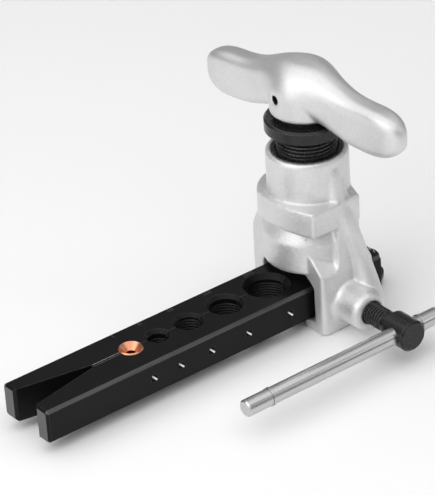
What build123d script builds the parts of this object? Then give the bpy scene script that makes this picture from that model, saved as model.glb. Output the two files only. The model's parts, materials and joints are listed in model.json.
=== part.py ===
from build123d import *
import math
import os

os.makedirs("parts", exist_ok=True)

# Eccentric-cone flaring tool, in millimetres.
# +X runs along the bar from its open end to its hinge, +Z is up, and the clamp screw's head points to -Y.
# The origin is the centre of the largest tube bore on the bar's underside.

# Bar: two jaws, split along Y = 0
BAR_HALF_WIDTH = 18.0
BAR_HEIGHT = 18.0
OPEN_END_X = -146.0
BODY_END_X = 59.0
SEAM_HALF_GAP = 0.2
EDGE_CHAMFER_Y = 1.9
EDGE_CHAMFER_Z = 1.4
V_MOUTH_HALF = 8.7
V_APEX_X = -105.0
V_APEX_HALF = 0.7
END_CHAMFER = 1.2
TUBE_DIAMETERS = (6.35, 9.52, 12.7, 15.88, 19.05)
FLARE_DIAMETERS = (12.6, 13.0, 15.8, 19.4, 24.0)
HOLE_STATIONS = (-83.7, -67.5, -48.8, -26.0, 0.0)
BORE_CLEARANCE = 0.05
GRIP_PITCH = 1.5
GRIP_DEPTH = 0.35
DIMPLE_RADIUS = 2.2

# Hinge of the two jaws: two stacked lugs in the lower half of the bar's height
HINGE_X = 61.5
HINGE_PIN_RADIUS = 4.0
HINGE_HEAD_RADIUS = 11.0
HINGE_HEAD_BOTTOM = -3.0
LUG_RADIUS = 9.0
LUG_SPLIT = 4.6
LUG_TOP = 9.2
LUG_GAP = 0.4
WASHER_POCKET = 7.6
RUNNING_GAP = 0.05

# Yoke
YOKE_X = 29.5
YOKE_HALF_LENGTH = 16.5
YOKE_BOTTOM = -6.0
FAR_WALL_INNER = 18.2
FAR_WALL_OUTER = 27.0
NEAR_WALL_INNER = -20.5
NEAR_WALL_OUTER = -28.0
LIP_EDGE = 13.0
WAIST_BOTTOM = 25.4
SKIRT_RADIUS = 24.0
SKIRT_TOP = 41.5
WAIST_RADIUS = 20.6
WAIST_LEVEL = 48.0
RING_BOTTOM = 49.4
RING_TOP = 63.0
RING_NEAR_FLAT = -25.0
BARREL_TOP = 85.0
BARREL_RADIUS = 20.5
BUSH_RADIUS = 17.6
BUSH_BOTTOM = 62.0
CAVITY_RADIUS = 16.2

# Clamp screw, along Y
CLAMP_Z = 9.5
BOSS_RADIUS = 10.2
BOSS_FACE = -45.2
BUSH_FACE = -40.0
CLAMP_BUSH_RADIUS = 8.2
CLAMP_BUSH_START = -24.5
CLAMP_CREST = 5.6
CLAMP_PITCH = 1.75
CLAMP_INNER_END = -25.6
CLAMP_HEAD_RADIUS = 8.0
CLAMP_HEAD_START = -60.0
CLAMP_HEAD_END = -75.5
TOMMY_Y = -68.0
TOMMY_RADIUS = 4.3
TOMMY_START_X = -69.0
TOMMY_LENGTH = 120.0
TOMMY_GROOVE = 1.6

# Feed screw, spindle and cone, along Z
FEED_CREST = 15.0
FEED_PITCH = 2.0
FEED_BOTTOM = 54.2
COLLAR_BOTTOM = 95.0
COLLAR_TOP = 102.2
COLLAR_RADIUS = 20.4
SPINDLE_RADIUS = 8.0
SPINDLE_TOP = 122.0
FLANGE_RADIUS = 13.0
FLANGE_TOP = 50.0
CONE_TIP_Z = 18.8
CONE_TIP_RADIUS = 1.6
CONE_RADIUS = 12.0
CONE_OFFSET = 1.0
SHANK_RADIUS = 4.5
SHANK_TOP = 47.4

# Handle
HUB_BOTTOM = 105.0
HUB_RADIUS = 17.4
HUB_CAVITY_TOP = 112.0
DOME_START = 116.5
DOME_TOP = 132.0
HANDLE_PIN_Z = 115.2
HANDLE_PIN_RADIUS = 2.1
HANDLE_PIN_TURN = -6.2
HANDLE_PIN_LENGTH = 22.0
WING_TURN = -84.0

spindle_plane = Plane(origin=(YOKE_X, 0, 0), x_dir=(1, 0, 0), z_dir=(0, -1, 0))
spindle_axis = Axis((YOKE_X, 0, 0), (0, 0, 1))
cone_plane = Plane(origin=(YOKE_X + CONE_OFFSET, 0, 0), x_dir=(1, 0, 0), z_dir=(0, -1, 0))
cone_axis = Axis((YOKE_X + CONE_OFFSET, 0, 0), (0, 0, 1))
clamp_plane = Plane(origin=(YOKE_X, 0, CLAMP_Z), x_dir=(1, 0, 0), z_dir=(0, 0, 1))
clamp_axis = Axis((YOKE_X, 0, CLAMP_Z), (0, 1, 0))
handle_pin_plane = Plane(origin=(YOKE_X, 0, HANDLE_PIN_Z), z_dir=(1, 0, 0)).rotated((0, 0, HANDLE_PIN_TURN))


def turned(points, plane, axis, mode=Mode.ADD):
    """Revolves a closed outline of (radius, height) points about the axis."""
    with BuildSketch(plane) as outline:
        with BuildLine():
            Polyline(*points, close=True)
        make_face()
    revolve(outline.sketch, axis=axis, mode=mode)


def thread_crests(crest, root, start, end, pitch):
    """Outline points, from start to end, of V grooves between a crest and a root radius."""
    points = []
    count = int((end - start) / pitch)
    for turn in range(count):
        low = start + turn * pitch
        points.append((root, low + 0.1 * pitch))
        points.append((crest, low + 0.5 * pitch))
        points.append((crest, low + 0.6 * pitch))
        points.append((root, low + pitch))
    return points


def hinge_cylinder(radius, bottom, top, mode=Mode.ADD):
    """A cylinder about the hinge pin's axis."""
    with BuildSketch(Plane.XY.offset(bottom)) as disc:
        with Locations((HINGE_X, 0)):
            Circle(radius)
    extrude(disc.sketch, amount=top - bottom, mode=mode)


def bar_section(side):
    """One jaw's bar, with its two outer edges chamfered."""
    inner = side * SEAM_HALF_GAP
    outer = side * BAR_HALF_WIDTH
    shoulder = side * (BAR_HALF_WIDTH - EDGE_CHAMFER_Y)
    with BuildSketch(Plane.YZ.offset(OPEN_END_X)) as section:
        with BuildLine():
            Polyline(
                (inner, 0),
                (shoulder, 0),
                (outer, EDGE_CHAMFER_Z),
                (outer, BAR_HEIGHT - EDGE_CHAMFER_Z),
                (shoulder, BAR_HEIGHT),
                (inner, BAR_HEIGHT),
                close=True,
            )
        make_face()
    extrude(section.sketch, amount=BODY_END_X - OPEN_END_X)


def cut_v_mouth(side):
    """Takes the V that lets a tube in from the open end."""
    with BuildSketch(Plane.XY) as mouth:
        with BuildLine():
            Polyline(
                (OPEN_END_X - 1, 0),
                (OPEN_END_X - 1, side * V_MOUTH_HALF),
                (OPEN_END_X, side * V_MOUTH_HALF),
                (V_APEX_X, side * V_APEX_HALF),
                (HOLE_STATIONS[0], side * V_APEX_HALF),
                (HOLE_STATIONS[0], 0),
                close=True,
            )
        make_face()
    extrude(mouth.sketch, amount=BAR_HEIGHT, mode=Mode.SUBTRACT)


def cut_tube_holes():
    """Takes each tube bore with its grip grooves and its 45 degree countersink."""
    for station, tube, flare in zip(HOLE_STATIONS, TUBE_DIAMETERS, FLARE_DIAMETERS):
        bore = tube / 2 + BORE_CLEARANCE
        sink_bottom = BAR_HEIGHT - (flare / 2 - bore)
        points = [(0, -1), (bore, -1)]
        for groove in range(int((sink_bottom - GRIP_PITCH) / GRIP_PITCH)):
            low = (groove + 0.6) * GRIP_PITCH
            points.append((bore, low))
            points.append((bore + GRIP_DEPTH, low + 0.3 * GRIP_PITCH))
            points.append((bore, low + 0.6 * GRIP_PITCH))
        points.append((bore, sink_bottom))
        points.append((flare / 2, BAR_HEIGHT))
        points.append((flare / 2, BAR_HEIGHT + 1))
        points.append((0, BAR_HEIGHT + 1))
        plane = Plane(origin=(station, 0, 0), x_dir=(1, 0, 0), z_dir=(0, -1, 0))
        turned(points, plane, Axis((station, 0, 0), (0, 0, 1)), Mode.SUBTRACT)


# ---- Bar ----
DOWEL_STATIONS = (-57.0, 42.0)
DOWEL_RADIUS = 1.6
DOWEL_REACH = 5.0
MARK_LENGTH = 2.6
MARK_SPACING = 1.3

with BuildPart() as rear_jaw:
    bar_section(1)
    hinge_cylinder(LUG_RADIUS + 0.4, 0, LUG_SPLIT, Mode.SUBTRACT)
    hinge_cylinder(LUG_RADIUS, LUG_SPLIT, LUG_TOP)
    hinge_cylinder(WASHER_POCKET, LUG_TOP, BAR_HEIGHT, Mode.SUBTRACT)
    cut_v_mouth(1)
    chamfer(rear_jaw.faces().sort_by(Axis.X)[0].edges(), END_CHAMFER)
    cut_tube_holes()
    hinge_cylinder(HINGE_PIN_RADIUS + 0.02, 0, BAR_HEIGHT, Mode.SUBTRACT)
    for station in DOWEL_STATIONS:
        with Locations(Plane(origin=(station, 0, CLAMP_Z), z_dir=(0, 1, 0))):
            Cylinder(DOWEL_RADIUS + 0.01, 2 * DOWEL_REACH + 0.2, mode=Mode.SUBTRACT)
    for index, station in enumerate(HOLE_STATIONS):
        for mark in range(index + 1):
            mark_x = station + (mark - index / 2) * MARK_SPACING
            with Locations((mark_x, BAR_HALF_WIDTH - 3.6, BAR_HEIGHT)):
                Box(0.45, MARK_LENGTH, 0.3, mode=Mode.SUBTRACT)
rear_jaw.part.label = "rear_jaw"
export_step(rear_jaw.part, "parts/rear_jaw.step")

with BuildPart() as front_jaw:
    bar_section(-1)
    hinge_cylinder(LUG_RADIUS + 0.4, LUG_SPLIT - LUG_GAP, LUG_TOP + LUG_GAP, Mode.SUBTRACT)
    hinge_cylinder(LUG_RADIUS, 0, LUG_SPLIT - LUG_GAP)
    hinge_cylinder(WASHER_POCKET, LUG_TOP, BAR_HEIGHT, Mode.SUBTRACT)
    cut_v_mouth(-1)
    chamfer(front_jaw.faces().sort_by(Axis.X)[0].edges(), END_CHAMFER)
    cut_tube_holes()
    hinge_cylinder(HINGE_PIN_RADIUS + RUNNING_GAP, 0, BAR_HEIGHT, Mode.SUBTRACT)
    for station in DOWEL_STATIONS:
        with Locations(Plane(origin=(station, 0, CLAMP_Z), z_dir=(0, 1, 0))):
            Cylinder(DOWEL_RADIUS + 0.5, 2 * DOWEL_REACH + 1.6, mode=Mode.SUBTRACT)
    for station in HOLE_STATIONS:
        with Locations(Plane(origin=(station, -BAR_HALF_WIDTH, CLAMP_Z), z_dir=(0, -1, 0))):
            Cone(0.2, 2 * DIMPLE_RADIUS - 0.2, 4.4, mode=Mode.SUBTRACT)
front_jaw.part.label = "front_jaw"
export_step(front_jaw.part, "parts/front_jaw.step")

with BuildPart() as jaw_dowels:
    for station in DOWEL_STATIONS:
        with Locations(Plane(origin=(station, 0, CLAMP_Z), z_dir=(0, 1, 0))):
            Cylinder(DOWEL_RADIUS, 2 * DOWEL_REACH)
    chamfer(jaw_dowels.edges().filter_by(GeomType.CIRCLE), 0.3)
jaw_dowels.part.label = "jaw_dowels"
export_step(jaw_dowels.part, "parts/jaw_dowels.step")

with BuildPart() as hinge_pin:
    hinge_cylinder(HINGE_HEAD_RADIUS, HINGE_HEAD_BOTTOM, -0.1)
    fillet(hinge_pin.edges().group_by(Axis.Z)[0], 1.0)
    hinge_cylinder(HINGE_PIN_RADIUS, -0.1, LUG_TOP + 3.2)
    hinge_cylinder(HINGE_PIN_RADIUS + 1, LUG_TOP + 1.6, LUG_TOP + 2.6, Mode.SUBTRACT)
    hinge_cylinder(HINGE_PIN_RADIUS - 0.6, LUG_TOP + 1.6, LUG_TOP + 2.6)
hinge_pin.part.label = "hinge_pin"
export_step(hinge_pin.part, "parts/hinge_pin.step")

with BuildPart() as hinge_washer:
    hinge_cylinder(7.0, LUG_TOP + 0.1, LUG_TOP + 1.5)
    hinge_cylinder(HINGE_PIN_RADIUS + RUNNING_GAP, LUG_TOP + 0.1, LUG_TOP + 1.5, Mode.SUBTRACT)
hinge_washer.part.label = "hinge_washer"
export_step(hinge_washer.part, "parts/hinge_washer.step")

with BuildPart() as hinge_circlip:
    hinge_cylinder(6.0, LUG_TOP + 1.65, LUG_TOP + 2.55)
    hinge_cylinder(HINGE_PIN_RADIUS - 0.55, LUG_TOP + 1.65, LUG_TOP + 2.55, Mode.SUBTRACT)
    with Locations((HINGE_X + 4.5, 0, LUG_TOP + 2.1)):
        Box(5, 3.2, 2, mode=Mode.SUBTRACT)
hinge_circlip.part.label = "hinge_circlip"
export_step(hinge_circlip.part, "parts/hinge_circlip.step")

# ---- Copper tube with its finished flare ----
TUBE_WALL = 0.8
FLARE_SIT = 0.08

with BuildPart() as copper_tube:
    outer = TUBE_DIAMETERS[0] / 2
    inner = outer - TUBE_WALL
    throat = BAR_HEIGHT - (FLARE_DIAMETERS[0] / 2 - outer) + FLARE_SIT
    reach = FLARE_DIAMETERS[0] / 2 - outer - 2 * FLARE_SIT
    lip = TUBE_WALL * math.sqrt(0.5)
    bend = TUBE_WALL * math.tan(math.radians(22.5))
    tube_plane = Plane(origin=(HOLE_STATIONS[0], 0, 0), x_dir=(1, 0, 0), z_dir=(0, -1, 0))
    tube_points = (
        (inner, -3),
        (outer, -3),
        (outer, throat),
        (outer + reach, throat + reach),
        (outer + reach - lip, throat + reach + lip),
        (inner, throat + bend),
    )
    turned(tube_points, tube_plane, Axis((HOLE_STATIONS[0], 0, 0), (0, 0, 1)))
copper_tube.part.label = "copper_tube"
export_step(copper_tube.part, "parts/copper_tube.step")

# ---- Yoke casting ----
ARCH_SIDE = 19.5
ARM_SHOULDER = 27.0
ARM_CROWN = 38.0
SHOULDER_INNER = -17.0
# Horizontal sections of the near web: height, front and rear offset from the barrel's axis, outer face
WEB_SECTIONS = ((24, -6.0, 16.2, -28.2), (49, -3.0, 9.6, -25.0), (72, -1.5, 6.0, -20.4))
# Sections of the rib from the barrel down to the boss: height, centre offset, depth, half width, half depth
RIB_SECTIONS = (
    (-4, 8.2, -31.0, 5.0, 6.0),
    (2, 9.2, -32.4, 6.0, 8.0),
    (12, 9.2, -32.0, 6.2, 8.2),
    (27, 8.6, -27.8, 5.3, 6.4),
    (45, 4.6, -24.6, 5.0, 5.4),
    (58, 1.6, -21.4, 4.8, 5.0),
    (70, 0.4, -18.6, 4.2, 4.6),
    (81, 0.2, -16.6, 3.0, 3.6),
)

with BuildPart() as yoke_casting:
    # The two arms, their lips under the bar and the shoulders, as one section along the bar
    with BuildSketch(Plane.YZ.offset(YOKE_X - YOKE_HALF_LENGTH)):
        with BuildLine():
            Polyline(
                (FAR_WALL_OUTER, YOKE_BOTTOM),
                (FAR_WALL_OUTER, 31),
                (FAR_WALL_OUTER - 1.6, ARM_CROWN),
                (FAR_WALL_OUTER - 6, RING_BOTTOM - 2),
                (FAR_WALL_OUTER - 9, RING_BOTTOM),
                (-15, RING_BOTTOM),
                (SHOULDER_INNER, ARM_CROWN),
                (NEAR_WALL_OUTER, ARM_SHOULDER),
                (NEAR_WALL_OUTER, YOKE_BOTTOM),
                close=True,
            )
        make_face()
    extrude(amount=2 * YOKE_HALF_LENGTH)
    fillet(yoke_casting.edges().filter_by(Axis.Z), 2.5)
    fillet(yoke_casting.edges().filter_by(Axis.X).group_by(Axis.Z)[0], 2.0)
    with BuildSketch(Plane.YZ.offset(YOKE_X - YOKE_HALF_LENGTH - 1)):
        with BuildLine():
            Polyline(
                (LIP_EDGE, YOKE_BOTTOM - 1),
                (LIP_EDGE, -0.3),
                (FAR_WALL_INNER, -0.3),
                (FAR_WALL_INNER, ARCH_SIDE),
                (LIP_EDGE, WAIST_BOTTOM),
                (-LIP_EDGE, WAIST_BOTTOM),
                (NEAR_WALL_INNER, ARCH_SIDE),
                (NEAR_WALL_INNER, -0.3),
                (-LIP_EDGE, -0.3),
                (-LIP_EDGE, YOKE_BOTTOM - 1),
                close=True,
            )
        make_face()
    extrude(amount=2 * YOKE_HALF_LENGTH + 2, mode=Mode.SUBTRACT)
    # The clamp side's corners above the arm are cut back to the round skirt
    with BuildSketch(Plane.XY.offset(ARM_CROWN)):
        with Locations((YOKE_X, -20)):
            Rectangle(60, 40)
        with Locations((YOKE_X, 0)):
            Circle(SKIRT_RADIUS, mode=Mode.SUBTRACT)
    extrude(amount=RING_BOTTOM - ARM_CROWN + 1, mode=Mode.SUBTRACT)
    # Ring: round on the far side, flatter in front, straight beside the web, and open behind the barrel
    with BuildSketch(Plane((YOKE_X, 0, RING_BOTTOM))):
        with BuildLine():
            ThreePointArc((-18, RING_NEAR_FLAT), (-23, -6.5), (-22.5, 12.2))
            ThreePointArc((-22.5, 12.2), (-8, 24.3), (11.5, 22.9))
            Polyline((11.5, 22.9), (16.5, 11), (16.5, -11), (11.5, RING_NEAR_FLAT), (-18, RING_NEAR_FLAT))
        make_face()
    extrude(amount=RING_TOP - RING_BOTTOM)
    # Web and rib on the clamp screw's side
    for height, front, rear, face in WEB_SECTIONS:
        with BuildSketch(Plane.XY.offset(height)):
            with Locations((YOKE_X + (front + rear) / 2, (face - 12) / 2)):
                Rectangle(rear - front, -12 - face)
    loft(ruled=True)
    for height, middle, depth, half_width, half_depth in RIB_SECTIONS:
        with BuildSketch(Plane.XY.offset(height)):
            with Locations((YOKE_X + middle, depth)):
                Ellipse(half_width, half_depth)
    loft()
    # Skirt, waist and barrel
    barrel_points = (
        (0, WAIST_BOTTOM),
        (SKIRT_RADIUS - 0.8, WAIST_BOTTOM),
        (SKIRT_RADIUS, WAIST_BOTTOM + 0.8),
        (SKIRT_RADIUS, SKIRT_TOP),
        (WAIST_RADIUS, WAIST_LEVEL),
        (WAIST_RADIUS, RING_BOTTOM + 1),
        (BARREL_RADIUS, RING_BOTTOM + 1),
        (BARREL_RADIUS, BARREL_TOP - 1.6),
        (BARREL_RADIUS - 0.5, BARREL_TOP - 0.5),
        (BARREL_RADIUS - 1.6, BARREL_TOP),
        (0, BARREL_TOP),
    )
    turned(barrel_points, spindle_plane, spindle_axis)
    # Boss for the clamp screw, with a conical foot and a rounded end
    boss_points = (
        (0, -22),
        (BOSS_RADIUS + 1, -22),
        (BOSS_RADIUS + 1, NEAR_WALL_OUTER - 0.5),
        (BOSS_RADIUS, NEAR_WALL_OUTER - 2.5),
        (BOSS_RADIUS, BOSS_FACE + 3.4),
        (BOSS_RADIUS - 1, BOSS_FACE + 1.2),
        (BOSS_RADIUS - 3, BOSS_FACE),
        (0, BOSS_FACE),
    )
    turned(boss_points, clamp_plane, clamp_axis)
    # Bore for the feed screw and its bush
    bore_points = (
        (0, WAIST_BOTTOM - 1),
        (CAVITY_RADIUS + 1, WAIST_BOTTOM - 1),
        (CAVITY_RADIUS + 1, WAIST_BOTTOM),
        (CAVITY_RADIUS, WAIST_BOTTOM + 1),
        (CAVITY_RADIUS, BUSH_BOTTOM),
        (BUSH_RADIUS, BUSH_BOTTOM),
        (BUSH_RADIUS, BARREL_TOP + 1),
        (0, BARREL_TOP + 1),
    )
    turned(bore_points, spindle_plane, spindle_axis, Mode.SUBTRACT)
    # Stepped hole for the clamp screw, its bush fitted from the slot's side
    clamp_bore_points = (
        (0, NEAR_WALL_INNER + 1),
        (CLAMP_BUSH_RADIUS, NEAR_WALL_INNER + 1),
        (CLAMP_BUSH_RADIUS, BUSH_FACE),
        (CLAMP_CREST + 0.4, BUSH_FACE),
        (CLAMP_CREST + 0.4, BOSS_FACE - 1),
        (0, BOSS_FACE - 1),
    )
    turned(clamp_bore_points, clamp_plane, clamp_axis, Mode.SUBTRACT)
    # The bar's slot stays clear of the boss, the web and the rib
    with Locations((YOKE_X, (FAR_WALL_INNER + NEAR_WALL_INNER) / 2, (ARCH_SIDE - 0.3) / 2)):
        Box(80, FAR_WALL_INNER - NEAR_WALL_INNER, ARCH_SIDE + 0.3, mode=Mode.SUBTRACT)
    # Everything ends level with the lips
    with Locations((YOKE_X, 0, YOKE_BOTTOM)):
        Box(100, 120, 20, align=(Align.CENTER, Align.CENTER, Align.MAX), mode=Mode.SUBTRACT)
yoke_casting.part.label = "yoke_casting"
export_step(yoke_casting.part, "parts/yoke_casting.step")

with BuildPart() as feed_bush:
    bush_points = (
        (FEED_CREST + RUNNING_GAP, BUSH_BOTTOM),
        (BUSH_RADIUS, BUSH_BOTTOM),
        (BUSH_RADIUS, BARREL_TOP - 0.1),
        (FEED_CREST + 0.9, BARREL_TOP - 0.1),
        (FEED_CREST + RUNNING_GAP, BARREL_TOP - 1),
    )
    turned(bush_points, spindle_plane, spindle_axis)
feed_bush.part.label = "feed_bush"
export_step(feed_bush.part, "parts/feed_bush.step")

with BuildPart() as clamp_bush:
    clamp_bush_points = (
        (CLAMP_CREST + RUNNING_GAP, CLAMP_BUSH_START),
        (CLAMP_BUSH_RADIUS, CLAMP_BUSH_START),
        (CLAMP_BUSH_RADIUS, BUSH_FACE),
        (CLAMP_CREST + RUNNING_GAP, BUSH_FACE),
    )
    turned(clamp_bush_points, clamp_plane, clamp_axis)
clamp_bush.part.label = "clamp_bush"
export_step(clamp_bush.part, "parts/clamp_bush.step")

# ---- Feed screw ----
CLUTCH_FLOOR = 97.5
BALL_CIRCLE = 11.0
CLUTCH_BALL = 2.0
CLUTCH_BALL_Z = 98.7

with BuildPart() as feed_screw:
    feed_points = [(SPINDLE_RADIUS + RUNNING_GAP, FEED_BOTTOM), (FEED_CREST - 1.2, FEED_BOTTOM)]
    feed_points += thread_crests(FEED_CREST, FEED_CREST - 1.2, FEED_BOTTOM, COLLAR_BOTTOM - 0.5, FEED_PITCH)
    feed_points += [
        (FEED_CREST - 1.2, COLLAR_BOTTOM),
        (COLLAR_RADIUS - 1, COLLAR_BOTTOM),
        (COLLAR_RADIUS, COLLAR_BOTTOM + 1),
        (COLLAR_RADIUS, COLLAR_TOP - 1),
        (COLLAR_RADIUS - 1, COLLAR_TOP),
        (14.4, COLLAR_TOP),
        (14.4, CLUTCH_FLOOR),
        (SPINDLE_RADIUS + RUNNING_GAP, CLUTCH_FLOOR),
    ]
    turned(feed_points, spindle_plane, spindle_axis)
    with BuildSketch(spindle_plane):
        with Locations((BALL_CIRCLE, CLUTCH_BALL_Z)):
            Circle(CLUTCH_BALL + RUNNING_GAP)
    revolve(axis=spindle_axis, mode=Mode.SUBTRACT)
feed_screw.part.label = "feed_screw"
export_step(feed_screw.part, "parts/feed_screw.step")

with BuildPart() as thrust_washer:
    washer_points = (
        (SPINDLE_RADIUS + 0.2, 52.9),
        (FLANGE_RADIUS, 52.9),
        (FLANGE_RADIUS, FEED_BOTTOM - 0.1),
        (SPINDLE_RADIUS + 0.2, FEED_BOTTOM - 0.1),
    )
    turned(washer_points, spindle_plane, spindle_axis)
thrust_washer.part.label = "thrust_washer"
export_step(thrust_washer.part, "parts/thrust_washer.step")

with BuildPart() as thrust_balls:
    with Locations((YOKE_X, 0, 51.5)):
        with PolarLocations(10.6, 16):
            Sphere(1.3)
thrust_balls.part.label = "thrust_balls"
export_step(thrust_balls.part, "parts/thrust_balls.step")

# ---- Spindle and cone ----
CONE_TOP = 31.5
WASHER_TOP = 32.75
SHELL_RADIUS = 7.05

with BuildPart() as spindle:
    spindle_points = (
        (0, WASHER_TOP + 0.1),
        (FLANGE_RADIUS - 0.6, WASHER_TOP + 0.1),
        (FLANGE_RADIUS, WASHER_TOP + 0.7),
        (FLANGE_RADIUS, FLANGE_TOP),
        (SPINDLE_RADIUS, FLANGE_TOP),
        (SPINDLE_RADIUS, SPINDLE_TOP - 1),
        (SPINDLE_RADIUS - 1, SPINDLE_TOP),
        (0, SPINDLE_TOP),
    )
    turned(spindle_points, spindle_plane, spindle_axis)
    cone_bore_points = (
        (0, WASHER_TOP),
        (SHELL_RADIUS + 0.02, WASHER_TOP),
        (SHELL_RADIUS + 0.02, 48.5),
        (0, 48.5),
    )
    turned(cone_bore_points, cone_plane, cone_axis, Mode.SUBTRACT)
    with Locations(handle_pin_plane):
        Cylinder(HANDLE_PIN_RADIUS + 0.02, 40, mode=Mode.SUBTRACT)
spindle.part.label = "spindle"
export_step(spindle.part, "parts/spindle.step")

with BuildPart() as flaring_cone:
    cone_points = (
        (0, CONE_TIP_Z),
        (CONE_TIP_RADIUS, CONE_TIP_Z),
        (CONE_RADIUS, CONE_TIP_Z + CONE_RADIUS - CONE_TIP_RADIUS),
        (CONE_RADIUS, CONE_TOP),
        (SHANK_RADIUS, CONE_TOP),
        (SHANK_RADIUS, SHANK_TOP - 1.3),
        (SHANK_RADIUS - 0.6, SHANK_TOP - 1.3),
        (SHANK_RADIUS - 0.6, SHANK_TOP - 0.4),
        (SHANK_RADIUS, SHANK_TOP - 0.4),
        (SHANK_RADIUS, SHANK_TOP),
        (0, SHANK_TOP),
    )
    turned(cone_points, cone_plane, cone_axis)
flaring_cone.part.label = "flaring_cone"
export_step(flaring_cone.part, "parts/flaring_cone.step")

with BuildPart() as cone_washer:
    cone_washer_points = (
        (SHANK_RADIUS + 0.1, CONE_TOP + 0.05),
        (CONE_RADIUS - 1.5, CONE_TOP + 0.05),
        (CONE_RADIUS - 1.5, WASHER_TOP),
        (SHANK_RADIUS + 0.1, WASHER_TOP),
    )
    turned(cone_washer_points, cone_plane, cone_axis)
cone_washer.part.label = "cone_washer"
export_step(cone_washer.part, "parts/cone_washer.step")

with BuildPart() as cone_bearing_shell:
    shell_points = (
        (SHELL_RADIUS - 0.6, 33.5),
        (SHELL_RADIUS, 33.5),
        (SHELL_RADIUS, 45.8),
        (SHANK_RADIUS + 0.2, 45.8),
        (SHANK_RADIUS + 0.2, 45.2),
        (SHELL_RADIUS - 0.6, 45.2),
    )
    turned(shell_points, cone_plane, cone_axis)
cone_bearing_shell.part.label = "cone_bearing_shell"
export_step(cone_bearing_shell.part, "parts/cone_bearing_shell.step")

with BuildPart() as cone_needles:
    with Locations((YOKE_X + CONE_OFFSET, 0, 39.3)):
        with PolarLocations(SHANK_RADIUS + 0.97, 16):
            Cylinder(0.9, 11)
cone_needles.part.label = "cone_needles"
export_step(cone_needles.part, "parts/cone_needles.step")

with BuildPart() as cone_retainer:
    retainer_points = (
        (SHANK_RADIUS - 0.55, SHANK_TOP - 1.25),
        (SHELL_RADIUS - 0.8, SHANK_TOP - 1.25),
        (SHELL_RADIUS - 0.8, SHANK_TOP - 0.45),
        (SHANK_RADIUS - 0.55, SHANK_TOP - 0.45),
    )
    turned(retainer_points, cone_plane, cone_axis)
cone_retainer.part.label = "cone_retainer"
export_step(cone_retainer.part, "parts/cone_retainer.step")

# ---- Clutch ----
CUP_RADIUS = 14.1
CUP_TOP = 108.0

with BuildPart() as clutch_cup:
    cup_points = (
        (SPINDLE_RADIUS + 0.2, 99.3),
        (CUP_RADIUS - 0.8, 99.3),
        (CUP_RADIUS, 100.1),
        (CUP_RADIUS, CUP_TOP),
        (CUP_RADIUS - 1.2, CUP_TOP),
        (CUP_RADIUS - 1.2, 101.8),
        (SPINDLE_RADIUS + 0.2, 101.8),
    )
    turned(cup_points, spindle_plane, spindle_axis)
    with Locations((YOKE_X, 0, CLUTCH_BALL_Z)):
        with PolarLocations(BALL_CIRCLE, 6):
            Sphere(CLUTCH_BALL + 0.05, mode=Mode.SUBTRACT)
clutch_cup.part.label = "clutch_cup"
export_step(clutch_cup.part, "parts/clutch_cup.step")

with BuildPart() as clutch_balls:
    with Locations((YOKE_X, 0, CLUTCH_BALL_Z)):
        with PolarLocations(BALL_CIRCLE, 6):
            Sphere(CLUTCH_BALL)
clutch_balls.part.label = "clutch_balls"
export_step(clutch_balls.part, "parts/clutch_balls.step")

SPRING_BOTTOM = 102.9
SPRING_TOP = 110.9
SPRING_RADIUS = 10.6
SPRING_WIRE = 0.9

with BuildPart() as clutch_spring:
    with BuildLine() as spring_path:
        Helix(pitch=(SPRING_TOP - SPRING_BOTTOM) / 3, height=SPRING_TOP - SPRING_BOTTOM,
              radius=SPRING_RADIUS, center=(YOKE_X, 0, SPRING_BOTTOM))
    with BuildSketch(Plane(origin=spring_path.line @ 0, z_dir=spring_path.line % 0)):
        Circle(SPRING_WIRE)
    sweep(path=spring_path.line, is_frenet=True)
clutch_spring.part.label = "clutch_spring"
export_step(clutch_spring.part, "parts/clutch_spring.step")

# ---- Wing handle ----
# Sections across the wings: distance from the hub's axis, mid height, half height, half thickness, corner
WING_SECTIONS = (
    (0, 118.4, 13.4, 16.5, 13.0),
    (10, 117.8, 13.2, 14.0, 12.6),
    (17, 116.0, 12.9, 10.4, 9.4),
    (24, 113.4, 12.5, 8.5, 7.2),
    (33, 110.8, 12.1, 7.5, 5.4),
    (45, 109.7, 12.0, 7.1, 4.6),
    (55, 109.6, 11.0, 6.8, 4.5),
    (61, 109.7, 8.4, 5.2, 3.8),
    (64, 109.8, 5.0, 3.2, 2.6),
    (64.8, 109.8, 3.0, 1.8, 1.5),
)

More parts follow.
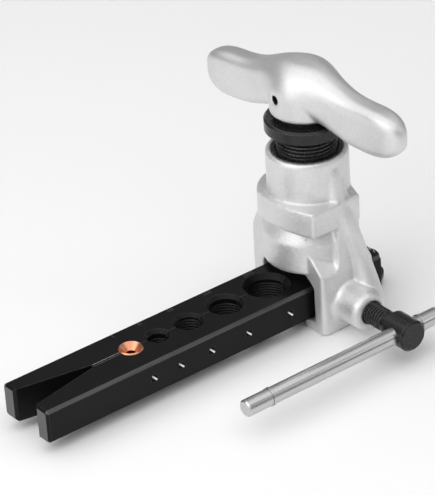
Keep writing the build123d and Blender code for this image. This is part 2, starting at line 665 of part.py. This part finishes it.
with BuildPart() as wing_handle:
    stations = [(-distance, *rest) for distance, *rest in reversed(WING_SECTIONS[1:])] + list(WING_SECTIONS)
    wing_direction = Vector(1, 0, 0).rotate(Axis.Z, WING_TURN)
    across = wing_direction.cross(Vector(0, 0, 1))
    for distance, middle, half_height, half_thickness, corner in stations:
        centre = Vector(YOKE_X, 0, middle) + wing_direction * distance
        with BuildSketch(Plane(origin=centre, x_dir=across, z_dir=wing_direction)):
            RectangleRounded(2 * half_thickness, 2 * half_height, corner)
    loft()
    # Hub with its dome
    with BuildSketch(spindle_plane) as hub_outline:
        with BuildLine():
            Polyline((HUB_RADIUS, DOME_START), (HUB_RADIUS, HUB_BOTTOM + 0.8), (HUB_RADIUS - 0.8, HUB_BOTTOM))
            Polyline((HUB_RADIUS - 0.8, HUB_BOTTOM), (0, HUB_BOTTOM), (0, DOME_TOP))
            Spline((HUB_RADIUS, DOME_START), (HUB_RADIUS * 0.74, DOME_START + 0.68 * (DOME_TOP - DOME_START)),
                   (0, DOME_TOP), tangents=((0, 1), (-1, 0)))
        make_face()
    revolve(hub_outline.sketch, axis=spindle_axis)
    hub_bore_points = (
        (0, HUB_BOTTOM - 12),
        (CUP_RADIUS + 0.3, HUB_BOTTOM - 12),
        (CUP_RADIUS + 0.3, HUB_CAVITY_TOP),
        (SPINDLE_RADIUS + 0.02, HUB_CAVITY_TOP),
        (SPINDLE_RADIUS + 0.02, SPINDLE_TOP + 0.2),
        (0, SPINDLE_TOP + 0.2),
    )
    turned(hub_bore_points, spindle_plane, spindle_axis, Mode.SUBTRACT)
    with Locations(handle_pin_plane):
        Cylinder(HANDLE_PIN_RADIUS + 0.02, 40, mode=Mode.SUBTRACT)
wing_handle.part.label = "wing_handle"
export_step(wing_handle.part, "parts/wing_handle.step")

with BuildPart() as handle_pin:
    with Locations(handle_pin_plane):
        Cylinder(HANDLE_PIN_RADIUS, HANDLE_PIN_LENGTH)
        Cylinder(HANDLE_PIN_RADIUS - 1, HANDLE_PIN_LENGTH, mode=Mode.SUBTRACT)
handle_pin.part.label = "handle_pin"
export_step(handle_pin.part, "parts/handle_pin.step")

# ---- Clamp screw and tommy bar ----
PAD_STEM_RADIUS = 1.9
PAD_STEM_END = -30.0

with BuildPart() as clamp_screw:
    clamp_points = [(0, CLAMP_HEAD_END), (CLAMP_HEAD_RADIUS - 1.2, CLAMP_HEAD_END)]
    clamp_points += [(CLAMP_HEAD_RADIUS, CLAMP_HEAD_END + 1.2), (CLAMP_HEAD_RADIUS, CLAMP_HEAD_START - 1.5)]
    clamp_points += [(CLAMP_CREST, CLAMP_HEAD_START), (CLAMP_CREST, -56.2), (CLAMP_CREST - 1, -55.2)]
    clamp_points += thread_crests(CLAMP_CREST, CLAMP_CREST - 0.9, -55, CLAMP_INNER_END - 0.8, CLAMP_PITCH)
    clamp_points += [
        (CLAMP_CREST - 0.9, CLAMP_INNER_END),
        (PAD_STEM_RADIUS + 0.05, CLAMP_INNER_END),
        (PAD_STEM_RADIUS + 0.05, PAD_STEM_END - 0.2),
        (0, PAD_STEM_END - 0.2),
    ]
    turned(clamp_points, clamp_plane, clamp_axis)
    with Locations(Plane(origin=(YOKE_X, TOMMY_Y, CLAMP_Z), z_dir=(1, 0, 0))):
        Cylinder(TOMMY_RADIUS + RUNNING_GAP, 30, mode=Mode.SUBTRACT)
clamp_screw.part.label = "clamp_screw"
export_step(clamp_screw.part, "parts/clamp_screw.step")

with BuildPart() as clamp_pad:
    pad_points = (
        (0, PAD_STEM_END),
        (PAD_STEM_RADIUS, PAD_STEM_END),
        (PAD_STEM_RADIUS, CLAMP_INNER_END + 0.1),
        (4.6, CLAMP_INNER_END + 0.1),
        (4.6, -22.6),
        (4.0, -22.0),
        (2.0, -22.0),
        (0.5, -20.4),
        (0, -20.4),
    )
    turned(pad_points, clamp_plane, clamp_axis)
clamp_pad.part.label = "clamp_pad"
export_step(clamp_pad.part, "parts/clamp_pad.step")

tommy_axis = Axis((0, TOMMY_Y, CLAMP_Z), (1, 0, 0))
tommy_plane = Plane(origin=(0, TOMMY_Y, CLAMP_Z), x_dir=(0, -1, 0), z_dir=(0, 0, 1))
LEFT_RING_X = TOMMY_START_X + 15
RIGHT_RING_X = TOMMY_START_X + TOMMY_LENGTH - 11.5

with BuildPart() as tommy_bar:
    tommy_end = TOMMY_START_X + TOMMY_LENGTH
    tommy_points = [(0, TOMMY_START_X), (TOMMY_RADIUS - 0.7, TOMMY_START_X), (TOMMY_RADIUS, TOMMY_START_X + 0.7)]
    for ring_x in (LEFT_RING_X, RIGHT_RING_X):
        tommy_points.append((TOMMY_RADIUS, ring_x - TOMMY_GROOVE / 2))
        tommy_points.append((TOMMY_RADIUS - 0.6, ring_x - TOMMY_GROOVE / 2))
        tommy_points.append((TOMMY_RADIUS - 0.6, ring_x + TOMMY_GROOVE / 2))
        tommy_points.append((TOMMY_RADIUS, ring_x + TOMMY_GROOVE / 2))
    tommy_points += [(TOMMY_RADIUS, tommy_end - 0.7), (TOMMY_RADIUS - 0.7, tommy_end), (0, tommy_end)]
    turned(tommy_points, tommy_plane, tommy_axis)
tommy_bar.part.label = "tommy_bar"
export_step(tommy_bar.part, "parts/tommy_bar.step")

with BuildPart() as tommy_rings:
    for ring_x in (LEFT_RING_X, RIGHT_RING_X):
        ring_points = (
            (TOMMY_RADIUS - 0.55, ring_x - 0.7),
            (TOMMY_RADIUS + 0.4, ring_x - 0.7),
            (TOMMY_RADIUS + 0.4, ring_x + 0.7),
            (TOMMY_RADIUS - 0.55, ring_x + 0.7),
        )
        turned(ring_points, tommy_plane, tommy_axis)
tommy_rings.part.label = "tommy_rings"
export_step(tommy_rings.part, "parts/tommy_rings.step")
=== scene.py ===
import json
import math

import bmesh
import bpy
from mathutils import Matrix, Vector


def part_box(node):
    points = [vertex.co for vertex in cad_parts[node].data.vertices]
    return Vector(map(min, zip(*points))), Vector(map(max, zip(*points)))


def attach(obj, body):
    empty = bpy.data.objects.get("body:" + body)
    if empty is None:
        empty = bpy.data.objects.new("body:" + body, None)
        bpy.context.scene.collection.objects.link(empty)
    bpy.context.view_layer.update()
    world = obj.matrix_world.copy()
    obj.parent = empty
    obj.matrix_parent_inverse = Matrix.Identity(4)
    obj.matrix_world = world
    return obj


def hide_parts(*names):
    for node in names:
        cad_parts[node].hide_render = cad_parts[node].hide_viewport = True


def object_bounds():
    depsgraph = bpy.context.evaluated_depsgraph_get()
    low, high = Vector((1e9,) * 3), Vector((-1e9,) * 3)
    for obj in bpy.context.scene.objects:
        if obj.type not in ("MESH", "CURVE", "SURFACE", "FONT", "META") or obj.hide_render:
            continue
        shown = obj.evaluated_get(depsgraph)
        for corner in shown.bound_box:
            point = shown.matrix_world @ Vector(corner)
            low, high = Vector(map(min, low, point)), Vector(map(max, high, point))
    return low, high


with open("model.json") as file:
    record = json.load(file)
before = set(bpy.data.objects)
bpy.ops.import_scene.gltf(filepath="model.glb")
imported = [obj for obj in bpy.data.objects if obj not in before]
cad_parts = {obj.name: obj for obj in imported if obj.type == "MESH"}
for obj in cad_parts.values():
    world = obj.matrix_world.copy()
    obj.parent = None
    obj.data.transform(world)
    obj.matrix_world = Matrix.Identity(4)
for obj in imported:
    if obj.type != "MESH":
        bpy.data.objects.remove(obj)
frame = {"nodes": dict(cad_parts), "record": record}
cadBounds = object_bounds()
nodes = frame["nodes"]
print("frame loaded:", len(nodes), "nodes")

mm = 0.001
barLow, barHigh = (Vector(corner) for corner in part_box("rear_jaw"))
frontLow = Vector(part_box("front_jaw")[0])
tubeLow, tubeHigh = (Vector(corner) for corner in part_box("copper_tube"))
screwLow, screwHigh = (Vector(corner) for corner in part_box("feed_screw"))
clampLow, clampHigh = (Vector(corner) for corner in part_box("clamp_screw"))
spindleX = (screwLow.x + screwHigh.x) / 2
clampZ = (clampLow.z + clampHigh.z) / 2
tubeX = (tubeLow.x + tubeHigh.x) / 2
pinZ = sum(corner[2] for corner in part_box("handle_pin")) / 2
holeStations = [tubeX] + [mount["pos_m"][0] for mount in frame["record"]["mounts"] if mount["name"] != "base"]


class Wire:
    def __init__(self, finish, socket):
        self.finish = finish
        self.socket = socket

    def math(self, operation, *others):
        values = dict(enumerate((self, *others)))
        return self.finish.node("ShaderNodeMath", {"operation": operation}, values)

    def __add__(self, other):
        return self.math("ADD", other)

    __radd__ = __add__

    def __mul__(self, other):
        return self.math("MULTIPLY", other)

    __rmul__ = __mul__

    def __sub__(self, other):
        return self.math("SUBTRACT", other)

    def __rsub__(self, other):
        return self.finish.node("ShaderNodeMath", {"operation": "SUBTRACT"}, {0: other, 1: self})

    def __gt__(self, other):
        return self.math("GREATER_THAN", other)

    def __lt__(self, other):
        return self.math("LESS_THAN", other)

    def __abs__(self):
        return self.math("ABSOLUTE")


class Finish:
    def __init__(self, name, **constants):
        self.material = bpy.data.materials.new(name)
        self.material.use_nodes = True
        self.tree = self.material.node_tree
        self.tree.nodes.clear()
        self.shader = self.tree.nodes.new("ShaderNodeBsdfPrincipled")
        output = self.tree.nodes.new("ShaderNodeOutputMaterial")
        self.tree.links.new(self.shader.outputs[0], output.inputs["Surface"])
        self.feed(**constants)
        self.place = self.node("ShaderNodeTexCoord", output="Object")

    def node(self, kind, settings=None, inputs=None, output=0):
        made = self.tree.nodes.new(kind)
        for name, value in (settings or {}).items():
            setattr(made, name, value)
        for name, value in (inputs or {}).items():
            self.join(made.inputs[name], value)
        return Wire(self, made.outputs[output])

    def join(self, socket, value):
        if isinstance(value, Wire):
            self.tree.links.new(value.socket, socket)
        else:
            socket.default_value = value

    def feed(self, **values):
        for name, value in values.items():
            self.join(self.shader.inputs[name.replace("_", " ")], value)

    def axis(self, letter):
        return self.node("ShaderNodeSeparateXYZ", inputs={0: self.place}, output=letter)

    def stretched(self, scale):
        return self.node("ShaderNodeVectorMath", {"operation": "MULTIPLY"}, {0: self.place, 1: scale})

    def noise(self, scale, detail=3, stretch=(1, 1, 1)):
        settings = {"noise_dimensions": "3D"}
        values = {"Vector": self.stretched(stretch), "Scale": scale, "Detail": detail}
        return self.node("ShaderNodeTexNoise", settings, values)

    def band(self, value, low, high, bottom=0.0, top=1.0):
        values = {"Value": value, "From Min": low, "From Max": high, "To Min": bottom, "To Max": top}
        return self.node("ShaderNodeMapRange", {"clamp": True}, values)

    def blend(self, mask, first, second):
        values = {"Factor": mask, "A": first, "B": second}
        return self.node("ShaderNodeMix", {"data_type": "RGBA"}, values, output="Result")

    def edges(self, radius):
        rounded = self.node("ShaderNodeBevel", {"samples": 6}, {"Radius": radius})
        flat = self.node("ShaderNodeNewGeometry", output="Normal")
        likeness = {"operation": "DOT_PRODUCT"}
        return 1 - self.node("ShaderNodeVectorMath", likeness, {0: rounded, 1: flat}, "Value")

    def mixed(self, first, second, share):
        return first * share + second * (1 - share)

    # Lighter edges: partly edge wear, partly painted highlight standing in for glints on edges and thread
    # crests
    def wearAndSheen(self, cloud, looks):
        edges = self.edges(looks["edge"]) + cloud * wearAndSheenLooks["cloud"]
        return self.band(edges, *wearAndSheenLooks["range"]) * looks["wearAndSheen"]

    def bump(self, height, looks):
        values = {"Height": height, "Distance": looks["depth"], "Strength": looks["strength"]}
        values["Normal"] = self.node("ShaderNodeBevel", {"samples": 4}, {"Radius": looks["edge"]})
        self.feed(Normal=self.node("ShaderNodeBump", None, values))


# A plain grey as a colour
def grey(value):
    return (value, value, value, 1)


# Most of a noise texture's values lie between these
noiseRange = (0.3, 0.7)
wearAndSheenLooks = {"cloud": 0.08, "range": (0.06, 0.22)}

castLooks = {
    "light": 0.78,
    "dark": 0.68,
    "pebble": 900,
    "pebbleShare": 0.5,
    "cloud": 70,
    "tones": (0.36, 0.62),
    "rough": (0.38, 0.5),
    "metal": 0.7,
    "depth": 0.22 * mm,
    "strength": 0.8,
    "edge": 0.5 * mm,
}


def castAluminium():
    finish = Finish("castAluminium", Metallic=castLooks["metal"])
    pebble = finish.noise(castLooks["pebble"], 4)
    cloud = finish.noise(castLooks["cloud"], 4)
    tone = finish.band(finish.mixed(pebble, cloud, castLooks["pebbleShare"]), *castLooks["tones"])
    finish.feed(Base_Color=finish.blend(tone, grey(castLooks["dark"]), grey(castLooks["light"])))
    finish.feed(Roughness=finish.band(pebble, *noiseRange, *castLooks["rough"]))
    finish.bump(pebble, castLooks)
    return finish.material


handleLooks = {
    "light": 0.76,
    "dark": 0.67,
    "grain": 700,
    "grainShare": 0.4,
    "cloud": 45,
    "tones": (0.35, 0.65),
    "rough": (0.42, 0.5),
    "metal": 0.85,
    "depth": 0.05 * mm,
    "strength": 0.4,
    "edge": 0.4 * mm,
}
# Painted shade: the cross hole's walls, inside the hub's skin, are painted near black
pinHoleShade = {"inside": 16.9 * mm, "half": 2.7 * mm, "grey": 0.015}


def handleAluminium():
    finish = Finish("handleAluminium", Metallic=handleLooks["metal"])
    grain = finish.noise(handleLooks["grain"], 4)
    cloud = finish.noise(handleLooks["cloud"], 3)
    tone = finish.band(finish.mixed(grain, cloud, handleLooks["grainShare"]), *handleLooks["tones"])
    along, across, up = (finish.axis(letter) for letter in "XYZ")
    reach = (along - spindleX).math("POWER", 2) + across.math("POWER", 2)
    # Painted shade: the cross hole's walls are coloured near black
    paintedHoleShade = (reach < pinHoleShade["inside"] ** 2) * (abs(up - pinZ) < pinHoleShade["half"])
    silver = finish.blend(tone, grey(handleLooks["dark"]), grey(handleLooks["light"]))
    finish.feed(Base_Color=finish.blend(paintedHoleShade, silver, grey(pinHoleShade["grey"])))
    finish.feed(Roughness=finish.band(cloud, *noiseRange, *handleLooks["rough"]))
    finish.bump(grain, handleLooks)
    return finish.material


barLooks = {
    "specular": 0.15,
    "black": 0.004,
    "blackSpread": 1.8,
    "wornAndSheen": 0.35,
    "wearAndSheen": 0.5,
    "bare": 0.6,
    "endGrey": 0.11,
    "endMetal": 0.6,
    "lines": 700,
    "lineShare": 0.6,
    "stretch": (0.03, 1, 1),
    "cloud": 80,
    "tones": (0.35, 0.65),
    "rough": (0.28, 0.4),
    "depth": 0.015 * mm,
    "strength": 0.4,
    "edge": 0.25 * mm,
    "seam": 0.9 * mm,
    "touch": 0.05 * mm,
    "dimple": 2.3 * mm,
    "dimpleDepth": 5 * mm,
    "dimpleGlint": 0.6 * mm,
    "dimpleGlintGrey": 0.7,
    "chamfer": (1.8 * mm, 1.3 * mm),
    "chamferGrey": 0.09,
    "chamferTones": (0.3, 0.6),
    "chamferWear": (0.5, 1),
}


def barBlack():
    finish = Finish("barBlack", Specular_IOR_Level=barLooks["specular"])
    lines = finish.noise(barLooks["lines"], 3, barLooks["stretch"])
    cloud = finish.noise(barLooks["cloud"], 4)
    skin = finish.mixed(lines, cloud, barLooks["lineShare"])
    along, across, up = (finish.axis(letter) for letter in "XYZ")
    endFace = along < barLow.x + barLooks["touch"]
    # The seam's walls are bare between the mouth and the first hole
    seamWall = (abs(across) < barLooks["seam"]) * (along < tubeX)
    # Painted highlight: each drilled dimple on the clamp screw's side gets a diagonal streak of bright steel
    # grey, standing in for the glint on its cone
    inFace = (across > frontLow.y + barLooks["touch"]) * (across < frontLow.y + barLooks["dimpleDepth"])
    paintedGlints = []
    for station in holeStations:
        aside = along - station
        above = up - clampZ
        reach = aside.math("POWER", 2) + above.math("POWER", 2)
        dimpleGlint = abs(aside + above) < barLooks["dimpleGlint"]
        paintedGlints.append((reach < barLooks["dimple"] ** 2) * dimpleGlint)
    # Painted highlight and wear: the upper chamfers are painted a lighter grey, partly as worn steel and
    # partly standing in for their highlight
    chamferWidth, chamferDrop = barLooks["chamfer"]
    chamfer = abs(across) > barHigh.y - chamferWidth
    chamfer = chamfer * (up > barHigh.z - chamferDrop) * (up < barHigh.z - barLooks["touch"])
    chamfer = chamfer * finish.band(skin, *barLooks["chamferTones"], *barLooks["chamferWear"])
    # Lighter edges: partly wear, partly painted highlight
    wornAndSheen = finish.wearAndSheen(cloud, barLooks)
    # Painted highlight: the dimple glints
    paintedDimpleGlints = sum(paintedGlints) * inFace
    lighter = barLooks["black"] * barLooks["blackSpread"]
    black = finish.blend(cloud, grey(barLooks["black"]), grey(lighter))
    black = finish.blend(chamfer, black, grey(barLooks["chamferGrey"]))
    black = finish.blend(wornAndSheen, black, grey(barLooks["wornAndSheen"]))
    black = finish.blend(endFace, black, grey(barLooks["endGrey"]))
    black = finish.blend(paintedDimpleGlints, black, grey(barLooks["dimpleGlintGrey"]))
    finish.feed(Base_Color=finish.blend(seamWall, black, grey(barLooks["bare"])))
    metal = seamWall.math("MAXIMUM", wornAndSheen).math("MAXIMUM", endFace * barLooks["endMetal"])
    finish.feed(Metallic=metal.math("MAXIMUM", paintedDimpleGlints).math("MAXIMUM", chamfer))
    finish.feed(Roughness=finish.band(skin, *barLooks["tones"], *barLooks["rough"]))
    finish.bump(lines, barLooks)
    return finish.material


oxideLooks = {
    "specular": 0.4,
    "black": 0.014,
    "blackSpread": 2,
    "wornAndSheen": 0.55,
    "wearAndSheen": 0.7,
    "wornAndSheenRange": (0, 0.5),
    "metal": (0.35, 0.9),
    "grain": 900,
    "cloud": 120,
    "rough": (0.2, 0.32),
    "depth": 0.01 * mm,
    "strength": 0.4,
    "edge": 0.2 * mm,
}


def blackOxide():
    finish = Finish("blackOxide", Specular_IOR_Level=oxideLooks["specular"])
    grain = finish.noise(oxideLooks["grain"], 3)
    cloud = finish.noise(oxideLooks["cloud"], 3)
    # Lighter edges and thread crests: partly wear, partly painted highlight
    wornAndSheen = finish.wearAndSheen(cloud, oxideLooks)
    lighter = oxideLooks["black"] * oxideLooks["blackSpread"]
    black = finish.blend(cloud, grey(oxideLooks["black"]), grey(lighter))
    finish.feed(Base_Color=finish.blend(wornAndSheen, black, grey(oxideLooks["wornAndSheen"])))
    finish.feed(Metallic=finish.band(wornAndSheen, *oxideLooks["wornAndSheenRange"], *oxideLooks["metal"]))
    finish.feed(Roughness=finish.band(grain, *noiseRange, *oxideLooks["rough"]))
    finish.bump(grain, oxideLooks)
    return finish.material


steelLooks = {
    "light": 0.66,
    "dark": 0.46,
    "lines": 900,
    "rough": (0.24, 0.32),
    "depth": 0.006 * mm,
    "strength": 0.4,
    "edge": 0.15 * mm,
}


def brightSteel(name, stretch):
    finish = Finish(name, Metallic=1.0)
    lines = finish.noise(steelLooks["lines"], 3, stretch)
    finish.feed(Base_Color=finish.blend(lines, grey(steelLooks["dark"]), grey(steelLooks["light"])))
    finish.feed(Roughness=finish.band(lines, *noiseRange, *steelLooks["rough"]))
    finish.bump(lines, steelLooks)
    return finish.material


copperLooks = {
    "bright": (0.85, 0.4, 0.24, 1),
    "dull": (0.62, 0.24, 0.13, 1),
    "cloud": 700,
    "rough": (0.2, 0.3),
    "depth": 0.01 * mm,
    "strength": 0.3,
    "edge": 0.1 * mm,
}


def polishedCopper():
    finish = Finish("polishedCopper", Metallic=1.0)
    cloud = finish.noise(copperLooks["cloud"], 3)
    finish.feed(Base_Color=finish.blend(cloud, copperLooks["dull"], copperLooks["bright"]))
    finish.feed(Roughness=finish.band(cloud, *noiseRange, *copperLooks["rough"]))
    finish.bump(cloud, copperLooks)
    return finish.material


finishes = {
    "bar_black": barBlack(),
    "black_oxide": blackOxide(),
    "bright_steel": brightSteel("brightSteel", stretch=(1, 1, 4)),
    "chrome": brightSteel("chrome", stretch=(0.04, 1, 1)),
    "cast_aluminium": castAluminium(),
    "handle_aluminium": handleAluminium(),
    "copper": polishedCopper(),
}
for entry in frame["record"]["subparts"]:
    for slot in nodes[entry["node"]].material_slots:
        slot.material = finishes[entry["material_slot"]]

castings = {
    "yoke_casting": {"body": "yoke", "voxel": 0.7 * mm, "rounds": 7, "pull": 0.5, "merge": 0.005 * mm},
    "wing_handle": {"body": "handle", "voxel": 0.7 * mm, "rounds": 16, "pull": 0.5, "merge": 0.005 * mm},
}
slotOf = {entry["node"]: entry["material_slot"] for entry in frame["record"]["subparts"]}


# A copy of the CAD mesh with its edges rounded as a casting's are, kept inside the CAD box
def softCasting(source, looks):
    low, high = (Vector(corner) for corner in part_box(source))
    piece = bpy.data.objects.new(source + "Soft", nodes[source].data.copy())
    bpy.context.collection.objects.link(piece)
    piece.data.transform(nodes[source].matrix_world)
    shape = bmesh.new()
    shape.from_mesh(piece.data)
    bmesh.ops.remove_doubles(shape, verts=shape.verts, dist=looks["merge"])
    bmesh.ops.recalc_face_normals(shape, faces=shape.faces)
    shape.to_mesh(piece.data)
    shape.free()
    skin = piece.modifiers.new("skin", "REMESH")
    skin.mode = "VOXEL"
    skin.voxel_size = looks["voxel"]
    rounding = piece.modifiers.new("rounding", "SMOOTH")
    rounding.factor = looks["pull"]
    rounding.iterations = looks["rounds"]
    rounded = piece.evaluated_get(bpy.context.evaluated_depsgraph_get())
    piece.data = bpy.data.meshes.new_from_object(rounded)
    piece.modifiers.clear()
    for corner in piece.data.vertices:
        for side in range(3):
            corner.co[side] = min(max(corner.co[side], low[side]), high[side])
    for face in piece.data.polygons:
        face.use_smooth = True
    piece.data.materials.clear()
    piece.data.materials.append(finishes[slotOf[source]])
    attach(piece, looks["body"])
    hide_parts(source)
    print("softened", source, len(piece.data.polygons), "faces")


for source, looks in castings.items():
    softCasting(source, looks)

stageLooks = {"size": 6.0, "tone": 0.98, "rough": 0.9}


def paleFloor():
    finish = Finish("paleFloor", Base_Color=grey(stageLooks["tone"]), Roughness=stageLooks["rough"])
    bpy.ops.mesh.primitive_plane_add(size=stageLooks["size"])
    floor = bpy.context.object
    floor.name = "floor"
    for corner in floor.data.vertices:
        corner.co.z = cadBounds[0][2]
    floor.data.materials.append(finish.material)


lamps = {
    "top": {"from": (-0.3, -0.1, 1.15), "size": 2.8, "power": 25.5},
    "left": {"from": (-1.0, -0.15, 0.45), "size": 1.1, "power": 4.2},
    "right": {"from": (0.75, -0.75, 0.4), "size": 0.35, "power": 0.6},
}
worldGlow = 0.26


def softLight():
    middle = (Vector(cadBounds[0]) + Vector(cadBounds[1])) / 2
    for name, lamp in lamps.items():
        data = bpy.data.lights.new(name, "AREA")
        data.size = lamp["size"]
        data.energy = lamp["power"]
        light = bpy.data.objects.new(name, data)
        bpy.context.collection.objects.link(light)
        light.location = middle + Vector(lamp["from"])
        light.rotation_euler = (middle - light.location).to_track_quat("-Z", "Y").to_euler()
    world = bpy.data.worlds.new("whiteRoom")
    bpy.context.scene.world = world
    world.use_nodes = True
    world.node_tree.nodes["Background"].inputs["Color"].default_value = (1, 1, 1, 1)
    world.node_tree.nodes["Background"].inputs["Strength"].default_value = worldGlow


cameraPlace = {"azimuth": -36.49, "elevation": 30.45, "roll": -3.77, "focal": 210.9, "near": 0.05}
# Measured from the spindle's axis at the height of the bar's top
cameraReach = {"back": 1.4425, "side": -0.0465, "lift": 0.0111}


def aimCamera():
    turn, rise, roll = (math.radians(cameraPlace[key]) for key in ("azimuth", "elevation", "roll"))
    back = Vector((math.sin(turn) * math.cos(rise), -math.cos(turn) * math.cos(rise), math.sin(rise)))
    right = Vector((math.cos(turn), math.sin(turn), 0))
    up = back.cross(right)
    rolledRight = right * math.cos(roll) + up * math.sin(roll)
    rolledUp = up * math.cos(roll) - right * math.sin(roll)
    place = Vector((spindleX, 0, barHigh.z))
    place += back * cameraReach["back"] + right * cameraReach["side"] + up * cameraReach["lift"]
    data = bpy.data.cameras.new("camera")
    data.lens = cameraPlace["focal"]
    data.clip_start = cameraPlace["near"]
    camera = bpy.data.objects.new("camera", data)
    bpy.context.collection.objects.link(camera)
    turned = Matrix((rolledRight, rolledUp, back)).transposed().to_4x4()
    camera.matrix_world = Matrix.Translation(place) @ turned
    bpy.context.scene.camera = camera


paleFloor()
softLight()
aimCamera()
bpy.context.scene.view_settings.view_transform = "Standard"
print("stage, light and camera ready")
